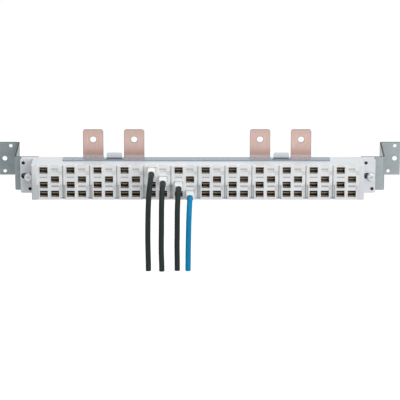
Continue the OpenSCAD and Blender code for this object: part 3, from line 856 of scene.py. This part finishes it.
def softened(node: str, width: float, within: Optional[Piece] = None,
             wanted: Optional[Test] = None, clamp: bool = True) -> Piece:
    """Copy a CAD node's mesh and round its sharp edges, as a mould or a tumbling drum does.

    Args:
        node: The CAD node.
        width: Width of the rounding.
        within: A solid that the copy is trimmed to first; it is used up.
        wanted: Tells from a corner's place whether the edges there are rounded; otherwise
            all are.
        clamp: Whether the rounding is kept as narrow as its tightest place needs.

    Returns:
        The new piece.
    """
    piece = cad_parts[node].copy()
    piece.data = piece.data.copy()
    piece.parent = None
    for key in list(piece.keys()):
        del piece[key]
    link(piece)
    with editing(piece):
        bpy.ops.mesh.remove_doubles(threshold=MERGE_DISTANCE)
        bpy.ops.mesh.dissolve_limited(angle_limit=FLAT_ANGLE)
    if within:
        carve(piece, within, "INTERSECT")
    if wanted:
        with editing(piece, wanted):
            bpy.ops.mesh.hide(unselected=True)
            select_sharp(ROUNDED_ANGLE)
            bpy.ops.mesh.reveal(select=False)
            bpy.ops.mesh.bevel(offset=width, segments=ROUND_STEPS, affect="EDGES",
                               clamp_overlap=clamp)
    else:
        modify(piece, "BEVEL", width=width, segments=ROUND_STEPS, limit_method="ANGLE",
               angle_limit=ROUNDED_ANGLE, use_clamp_overlap=clamp)
    flatten(piece)
    return piece


def turned(profile: Sequence[Span], axis: Point, vertices: int = 40) -> Piece:
    """Turn a closed solid round an axis along Y, ring by ring, as on a lathe.

    Args:
        profile: Radius and Y of each ring, from one end face to the other.
        axis: A point of the axis; its Y isn't used.
        vertices: Facets round the axis.

    Returns:
        The new solid.
    """
    radius, y = profile[0]
    piece = started(bpy.ops.mesh.primitive_circle_add, vertices=vertices, radius=radius,
                    fill_type="NGON", location=(axis[0], y, axis[2]),
                    rotation=(math.pi / 2, 0, 0))
    with editing(piece):
        for next_radius, next_y in profile[1:]:
            grow((0, next_y - y, 0))
            scale = next_radius / radius
            bpy.ops.transform.resize(value=(scale, 1, scale),
                                     center_override=(axis[0], next_y, axis[2]))
            radius, y = next_radius, next_y
        face_outwards()
    return piece


def hand_over(piece: Piece, name: str, finish: Finish,
              stands_for: Sequence[str] = ()) -> Piece:
    """Name a finished piece, dress it and tie it to the frame.

    Args:
        piece: The finished piece.
        name: Its name.
        finish: Its finish.
        stands_for: CAD nodes that it replaces.

    Returns:
        The same piece.
    """
    piece.name = name
    piece.data.name = name
    finish.dress(piece)
    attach(piece, BODY)
    if stands_for:
        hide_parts(*stands_for)
    LOG.info("%s: %s", name, finish.name)
    return piece


class Lamp(NamedTuple):
    """A soft square lamp that points at the object, placed from the camera's target."""

    name: str
    place: Point
    size: float
    power: float


@dataclass
class Studio:
    """Camera, lamps, floor and surroundings."""

    target: Point = (0.4 * MM, -120 * MM, -24.8 * MM)
    elevation: float = 16.5
    distance: float = 3.4
    lens: float = 229.1
    lamps: Sequence[Lamp] = (
        Lamp("key", (1.0, -1.8, 0.7), 1.2, 17.5),
        Lamp("top", (0, -0.1, 0.52), 0.4, 1.05),
        Lamp("rear", (-0.3, 2.0, 1.6), 1.6, 5),
    )
    ambient: float = 0.5
    floor_z: float = -0.6
    floor_size: float = 60.0
    floor_colour: Colour = (0.86, 0.86, 0.86, 1)
    floor_roughness: float = 0.9
    floor_glow: float = 0.55

    def build(self) -> None:
        """Make the camera, the lamps, the surroundings and the floor."""
        bpy.context.scene.view_settings.view_transform = "Standard"
        self.add_camera()
        for lamp in self.lamps:
            self.add_lamp(lamp)
        self.add_world()
        self.add_floor()

    def add_camera(self) -> None:
        """Put the camera at the photograph's viewing angle."""
        tilt = math.radians(self.elevation)
        data = bpy.data.cameras.new("camera")
        data.lens = self.lens
        camera = bpy.data.objects.new("camera", data)
        back = Vector((0, -math.cos(tilt), math.sin(tilt)))
        camera.location = Vector(self.target) + back * self.distance
        camera.rotation_euler = (math.pi / 2 - tilt, 0, 0)
        link(camera)
        bpy.context.scene.camera = camera

    def add_lamp(self, lamp: Lamp) -> None:
        """Add one of the lamps.

        Args:
            lamp: Its settings.
        """
        data = bpy.data.lights.new(lamp.name, "AREA")
        data.size = lamp.size
        data.energy = lamp.power
        made = bpy.data.objects.new(lamp.name, data)
        made.location = Vector(self.target) + Vector(lamp.place)
        made.rotation_euler = Vector(lamp.place).to_track_quat("Z", "Y").to_euler()
        link(made)

    @staticmethod
    def seen(graph: Graph) -> Signal:
        """Tell the rays from the camera, off gloss and through glass from the rest.

        Args:
            graph: The graph that asks.

        Returns:
            1 for these rays and 0 for the rest.
        """
        path = graph.node("ShaderNodeLightPath")
        camera, glossy, through = (
            Signal(graph, path.outputs[f"Is {ray} Ray"])
            for ray in ("Camera", "Glossy", "Transmission"))
        return (camera + glossy + through).lower(1.0)

    def add_world(self) -> None:
        """Surround the scene with white that lights the object less than it shows."""
        world = bpy.data.worlds.new("surroundings")
        bpy.context.scene.world = world
        graph = Graph(world)
        strength = self.ambient + self.seen(graph) * (1 - self.ambient)
        sky = graph.node("ShaderNodeBackground", sockets={"Color": WHITE, "Strength": strength})
        graph.node("ShaderNodeOutputWorld", sockets={"Surface": sky.outputs[0]})

    def add_floor(self) -> None:
        """Lay a plain pale floor that keeps the object's shadow."""
        floor = started(bpy.ops.mesh.primitive_plane_add, size=self.floor_size,
                        location=(0, 0, self.floor_z))
        floor.name = "floor"
        graph = SurfaceGraph("floor_paint")
        graph.surface(Base_Color=self.floor_colour, Roughness=self.floor_roughness,
                      Emission_Color=WHITE,
                      Emission_Strength=self.seen(graph) * self.floor_glow)
        floor.data.materials.append(graph.material)


@dataclass
class Wire:
    """One plugged wire: its hanging cord, and the strands at its cut end."""

    number: int
    length: float
    slot: Slot
    finish: Finish
    route: Sequence[Point]
    diameter: float = 7.2 * MM
    round_steps: int = 8
    bend_steps: int = 6
    strand_r: float = 0.72 * MM
    strand_out: float = 0.03 * MM
    strand_in: float = 3 * MM
    strand_facets: int = 16
    strand_edge: float = 0.12 * MM
    strand_corner: float = math.radians(50)
    outer_strands: int = 6

    def build(self) -> None:
        points = [Vector(p) * MM for p in self.route]
        curve = bpy.data.curves.new(f"wire_cord_{self.number}", "CURVE")
        curve.dimensions = "3D"
        curve.bevel_depth = self.diameter / 2
        curve.bevel_resolution = self.round_steps
        curve.resolution_u = self.bend_steps
        curve.use_fill_caps = True
        spline = curve.splines.new("BEZIER")
        spline.bezier_points.add(len(points) - 1)
        for knot, point in zip(spline.bezier_points, points):
            knot.co = point
            knot.handle_left_type = knot.handle_right_type = "AUTO"
        cord = bpy.data.objects.new(curve.name, curve)
        link(cord)
        hand_over(cord, f"wire_cord_{self.number}", self.finish,
                  [f"wire_{self.number}"])
        strands = hand_over(self.add_strands(points[-1]), f"wire_strands_{self.number}",
                            CONDUCTOR)

    def add_strands(self, end: Vector) -> Piece:
        """Model the strands that just show at the wire's cut end, six round one.

        Args:
            end: Middle of the cut.

        Returns:
            The strands as one piece.
        """
        piece = started(bpy.ops.mesh.primitive_circle_add, vertices=self.strand_facets,
                        radius=self.strand_r, fill_type="NGON",
                        location=end - Vector((0, 0, self.strand_out)))
        turns = [2 * math.pi * k / self.outer_strands for k in range(self.outer_strands)]
        with editing(piece):
            grow((0, 0, self.strand_out + self.strand_in))
            face_outwards()
            here = Vector()
            for turn in turns:
                spot = Vector((math.cos(turn), math.sin(turn), 0)) * self.strand_r * 2
                bpy.ops.mesh.duplicate()
                bpy.ops.transform.translate(value=spot - here)
                here = spot
        modify(piece, "BEVEL", width=self.strand_edge, segments=ROUND_STEPS,
               limit_method="ANGLE", angle_limit=self.strand_corner)
        smooth(piece)
        return piece


WIRES = (
    Wire(1, 0.1438, Slot.WIRE_BLACK, BLACK_WIRE, (
        (-64.1, -136.5, 15.3), (-64.1, -140, 15.3), (-64.2, -143.5, 15.2), (-64.6, -150.5, 14),
        (-65.2, -157, 10.6), (-65.9, -162.2, 5.4), (-66.6, -165.6, -1.4), (-67.2, -166.8, -8.9),
        (-67.6, -167, -17.4), (-68, -167, -27.4), (-68.3, -167, -39.4), (-68.5, -167, -51.4),
        (-68.6, -167, -63.4), (-68.5, -167, -75.4), (-68.3, -167, -87.4), (-68.1, -167, -98.4),
        (-68, -167, -108.4))),
    Wire(2, 0.1318, Slot.WIRE_BLACK, BLACK_WIRE, (
        (-48.9, -136.5, 2.8), (-48.9, -140, 2.8), (-49, -143.5, 2.7), (-49.2, -150.5, 1.5),
        (-49.5, -157, -1.9), (-49.8, -162.2, -7.1), (-50.1, -165.6, -13.9), (-50.3, -166.8, -21.4),
        (-50.4, -167, -30), (-50.5, -167, -42), (-50.6, -167, -54), (-50.8, -167, -66),
        (-50.9, -167, -78), (-50.7, -167, -90), (-50.4, -167, -100), (-50.3, -167, -109))),
    Wire(3, 0.1234, Slot.WIRE_BLACK, BLACK_WIRE, (
        (-28.1, -136.5, -4.7), (-28.1, -140, -4.7), (-28.2, -143.5, -4.8), (-28.4, -150.5, -6),
        (-28.7, -157, -9.4), (-29, -162.2, -14.6), (-29.3, -165.6, -21.4), (-29.5, -166.8, -28.9),
        (-29.6, -167, -37.1), (-29.7, -167, -49.1), (-29.8, -167, -61.1), (-30, -167, -73.1),
        (-29.9, -167, -85.1), (-29.8, -167, -97.1), (-29.8, -167, -108.1))),
    Wire(4, 0.1113, Slot.WIRE_BLUE, BLUE_WIRE, (
        (-12.9, -136.5, -17.1), (-12.9, -140, -17.1), (-13, -143.5, -17.2), (-13.2, -150.5, -18.4),
        (-13.5, -157, -21.8), (-13.8, -162.2, -27), (-14.1, -165.6, -33.8), (-14.4, -166.8, -41.3),
        (-14.6, -167, -49.4), (-14.8, -167, -59.4), (-15, -167, -69.4), (-15.2, -167, -79.4),
        (-15.3, -167, -89.4), (-15.4, -167, -99.4), (-15.5, -167, -108.4))),
)


class Assembly:
    """A group of pieces that is built first and dressed after."""

    def build(self) -> None:
        """Make the new pieces."""
        raise NotImplementedError

    def dress(self) -> None:
        """Dress the CAD nodes that stay; where all are replaced, there are none."""


@dataclass
class Housing(Assembly):
    """The moulded carrier with its end caps, terminal modules, barrier rails and plugs."""

    rail_count: int = 3
    shell_edge: float = 0.3 * MM
    shell_front: float = -78 * MM
    cap_edge: float = 0.2 * MM
    cap_foot: float = -24 * MM
    module_edge: float = 0.22 * MM
    module_front: float = -119.95 * MM
    plug_edge: float = 0.3 * MM
    grip_count: int = 4
    grip_pitch: float = 2.2 * MM
    grip_size: Point = (0.5 * MM, 1 * MM, 6 * MM)
    grip_from: float = 2.6 * MM
    grip_edge: float = 0.16 * MM
    gap_beside: float = 0.55 * MM
    gap_above: float = 0.45 * MM
    gap_depth: Span = (-120.5 * MM, -113.5 * MM)
    joint_x: float = 215.65 * MM
    joint_low: Point = (-0.5 * MM, -119.5 * MM, -3.8 * MM)
    joint_high: Point = (0.5 * MM, -117.6 * MM, 22 * MM)
    joint_edge: float = 0.15 * MM
    small_steps: int = 3

    def build(self) -> None:
        """Make the softened mouldings, the end joints and the plugs' grips."""
        carrier = softened("carrier", self.shell_edge, wanted=lambda at: at.y < self.shell_front)
        hand_over(carrier, "carrier_moulding", SHELL, ["carrier"])
        for side, sign, finish in (("left", -1, CAP_LEFT), ("right", 1, CAP_RIGHT)):
            node = f"end_cap_{side}"
            cap = softened(node, self.cap_edge, wanted=lambda at: at.z > self.cap_foot,
                           clamp=False)
            hand_over(cap, f"{node}_moulding", finish, [node])
            hand_over(self.add_joint(sign), f"end_joint_{side}", finish)
        modules = self.add_modules()
        for wire in WIRES:
            node = f"wire_plug_{wire.number}"
            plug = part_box(node)
            module = modules[int((plug[0][0] - ROW_LEFT) / MODULE_PITCH)]
            carve(module, self.add_gap(plug))
            flatten(module)
            hand_over(softened(node, self.plug_edge), f"plug_moulding_{wire.number}",
                      PLUG, [node])
            hand_over(self.add_grips(plug), f"plug_grips_{wire.number}", PLUG)
        for i, piece in enumerate(modules, 1):
            hand_over(piece, f"module_moulding_{i}", FRONT, [f"terminal_module_{i}"])

    def add_modules(self) -> list[Piece]:
        """Soften the first module, and repeat it along the row.

        Returns:
            All the modules, from the left.
        """
        first = softened("terminal_module_1", self.module_edge,
                         wanted=lambda at: at.y < self.module_front)
        modules = [first]
        for i in range(1, MODULE_COUNT):
            piece = first.copy()
            piece.data = first.data.copy()
            piece.data.transform(Matrix.Translation((i * MODULE_PITCH, 0, 0)))
            link(piece)
            modules.append(piece)
        return modules

    def add_joint(self, sign: int) -> Piece:
        """Model the bead that closes the joint between an end module and its cap.

        Args:
            sign: -1 for the left end, 1 for the right end.

        Returns:
            The bead.
        """
        middle = Vector((ROW_X + sign * self.joint_x, 0, 0))
        piece = block(middle + Vector(self.joint_low), middle + Vector(self.joint_high))
        modify(piece, "BEVEL", width=self.joint_edge, segments=self.small_steps)
        flatten(piece)
        return piece

    def add_gap(self, plug: Box) -> Piece:
        """Model the block that opens a window a little round its plug.

        Args:
            plug: Lowest and highest corner of the plug.

        Returns:
            The block.
        """
        low, high = plug
        front, back = self.gap_depth
        return block((low[0] - self.gap_beside, front, low[2]),
                     (high[0] + self.gap_beside, back, high[2] + self.gap_above))

    def add_grips(self, plug: Box) -> Piece:
        """Model the upright finger ribs on both sides of a plug.

        Args:
            plug: Lowest and highest corner of the plug.

        Returns:
            The ribs of both sides as one piece.
        """
        low, high = plug
        piece = started(bpy.ops.mesh.primitive_cube_add, size=1, scale=self.grip_size,
                        location=(low[0], low[1] + self.grip_from, (low[2] + high[2]) / 2))
        with editing(piece):
            bpy.ops.mesh.bevel(offset=self.grip_edge, segments=self.small_steps, affect="EDGES")
            bpy.ops.mesh.select_all(action="SELECT")
            bpy.ops.mesh.duplicate()
            bpy.ops.transform.translate(value=(high[0] - low[0], 0, 0))
        modify(piece, "ARRAY", count=self.grip_count, use_relative_offset=False,
               use_constant_offset=True, constant_offset_displace=(0, self.grip_pitch, 0))
        smooth(piece)
        return piece

    def dress(self) -> None:
        """Dress the CAD nodes that stay."""
        for i in range(1, self.rail_count + 1):
            RAIL.dress(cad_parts[f"barrier_rail_{i}"])
        for wire in WIRES:
            wire.finish.dress(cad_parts[f"wire_boot_{wire.number}"])


@dataclass
class Cover(Assembly):
    """The cover strip on the top, and the two clips that hold it."""

    edge: float = 0.25 * MM

    def build(self) -> None:
        """Make the softened strip and clips."""
        hand_over(softened("cover_strip", self.edge), "cover_strip_extrusion", STRIP,
                  ["cover_strip"])
        for side in ("left", "right"):
            node = f"cover_clip_{side}"
            hand_over(softened(node, self.edge), f"cover_clip_moulding_{side}", CLIP,
                      [node])


@dataclass
class Conductors(Assembly):
    """Busbars with their springs, and the feed lugs with their rivets."""

    pole_count: int = 4
    lug_edge: float = 0.35 * MM
    lug_corner: float = 3.6 * MM
    lug_corner_steps: int = 8
    lug_room: Point = (0.02 * MM, 6 * MM, 0.02 * MM)

    def build(self) -> None:
        """Make the softened lugs, with their top corners rounded."""
        for i in range(1, self.pole_count + 1):
            node = f"feed_lug_row_{i}"
            piece = softened(node, self.lug_edge, within=self.add_outline(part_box(node)))
            hand_over(piece, f"feed_lug_strip_{i}", COPPER, [node])

    def add_outline(self, lug: Box) -> Piece:
        """Model a block with rounded upper corners, which a lug is trimmed to.

        Args:
            lug: Lowest and highest corner of the lug.

        Returns:
            The block.
        """
        low, high = (Vector(corner) for corner in lug)
        room = Vector(self.lug_room)
        piece = block(low - room, high + room)
        with editing(piece, lambda at: at.z > (low.z + high.z) / 2):
            bpy.ops.mesh.bevel(offset=self.lug_corner, segments=self.lug_corner_steps,
                               affect="EDGES")
        return piece

    def dress(self) -> None:
        """Dress the CAD nodes that stay."""
        for i in range(1, self.pole_count + 1):
            BUSBAR.dress(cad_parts[f"busbar_row_{i}"])
            BRONZE.dress(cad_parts[f"contact_springs_row_{i}"])
        for node in ("lug_rivets", "plug_blades"):
            RIVET.dress(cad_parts[node])


def spool(end_r: float, waist_r: float, front: float, back: float, slope: float) -> list[Span]:
    """Lay out a turned profile that changes its radius along a slope at both ends."""
    return [(end_r, front), (waist_r, front + slope), (waist_r, back - slope), (end_r, back)]


@dataclass
class Mounting(Assembly):
    """The two brackets with their screws and nuts."""

    sheet_edge: float = 0.25 * MM
    screw_x: float = 230.3 * MM
    screw_z: float = -1.9 * MM
    ear_face: float = -86 * MM
    head_r: float = 5.7 * MM
    head_h: float = 4.8 * MM
    head_wall: float = 0.64
    head_flat: float = 0.55
    dome: Sequence[Span] = ((0.98, 0.35), (0.94, 0.62), (0.87, 0.84), (0.76, 0.96))
    shank_r: float = 2.95 * MM
    thread_root: float = 2.5 * MM
    thread_pitch: float = 1 * MM
    thread_turns: int = 6
    thread_lead: float = 0.6
    thread_places: Point = (0.15, 0.5, 0.65)
    tip: float = -68.5 * MM
    tip_share: float = 0.7
    screw_smooth: float = math.radians(40)
    recess: Point = (6 * MM, 2 * MM, 1.2 * MM)
    recess_turns: Span = (math.pi / 4, 3 * math.pi / 4)
    recess_taper: float = 0.7
    nut_front: float = -75 * MM
    nut_back: float = -70 * MM
    nut_r: float = 5.77 * MM
    nut_face_r: float = 4.77 * MM
    nut_slope: float = 0.75 * MM
    nut_sides: int = 6
    nut_bore: float = 3.05 * MM
    nut_break: float = 0.5 * MM
    nut_room: float = 0.1 * MM
    round_facets: int = 48
    bore_facets: int = 32

    def build(self) -> None:
        """Make the softened brackets, the screws and the nuts."""
        for side, sign, finish in (("left", -1, ZINC_LEFT), ("right", 1, ZINC_RIGHT)):
            node = f"bracket_{side}"
            hand_over(softened(node, self.sheet_edge), f"bracket_sheet_{side}", finish,
                      [node])
            axis = (sign * self.screw_x, 0, self.screw_z)
            hand_over(self.add_screw(axis), f"mounting_screw_{side}", STEEL,
                      ["mounting_screws"])
            hand_over(self.add_nut(axis), f"mounting_nut_{side}", STEEL,
                      ["mounting_nuts"])

    def add_screw(self, axis: Point) -> Piece:
        """Turn a threaded screw with a round head and cut its cross recess.

        Args:
            axis: A point of the screw's axis.

        Returns:
            The screw.
        """
        top = self.ear_face - self.head_h
        wall = self.ear_face - self.head_wall * self.head_h
        profile = [(self.tip_share * self.shank_r, self.tip)]
        y = self.tip - self.thread_lead * self.thread_pitch
        crest, fall, root = (place * self.thread_pitch for place in self.thread_places)
        for _ in range(self.thread_turns):
            profile += [(self.shank_r, y), (self.shank_r, y - crest),
                        (self.thread_root, y - fall), (self.thread_root, y - root)]
            y -= self.thread_pitch
        profile += [(self.shank_r, y), (self.shank_r, self.ear_face),
                    (self.head_r, self.ear_face), (self.head_r, wall)]
        profile += [(self.head_r * out, wall + (top - wall) * up) for out, up in self.dome]
        screw = turned(profile + [(self.head_flat * self.head_r, top)], axis)
        length, depth, width = self.recess
        middle = (axis[0], top, axis[2])
        for turn in self.recess_turns:
            tool = started(bpy.ops.mesh.primitive_cube_add, size=1, location=middle,
                           rotation=(0, turn, 0), scale=(length, 2 * depth, width))
            with editing(tool, lambda at: at.y > top):
                bpy.ops.transform.resize(value=(self.recess_taper, 1, self.recess_taper),
                                         center_override=middle)
            carve(screw, tool)
        smooth(screw, self.screw_smooth)
        return screw

    def add_nut(self, axis: Point) -> Piece:
        """Model a six-sided nut with turned chamfers and a bore with broken edges.

        Args:
            axis: A point of the nut's axis.

        Returns:
            The nut.
        """
        front, back, edge, room = self.nut_front, self.nut_back, self.nut_break, self.nut_room
        nut = turned([(self.nut_r, front), (self.nut_r, back)], axis, self.nut_sides)
        rounds = spool(self.nut_face_r, self.nut_r + edge, front, back, self.nut_slope)
        carve(nut, turned(rounds, axis, self.round_facets), "INTERSECT")
        bore = spool(self.nut_bore + edge, self.nut_bore, front - room, back + room, edge + room)
        carve(nut, turned(bore, axis, self.bore_facets))
        smooth(nut)
        return nut


def main() -> None:
    """Build the camera and the cords, then the rest of the block."""
    logging.basicConfig(level=logging.INFO, format="%(message)s")
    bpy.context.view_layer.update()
    Studio().build()
    for wire in WIRES:
        wire.build()
    for assembly in (Housing(), Cover(), Conductors(), Mounting()):
        assembly.build()
        assembly.dress()


if __name__ == "__main__":
    main()
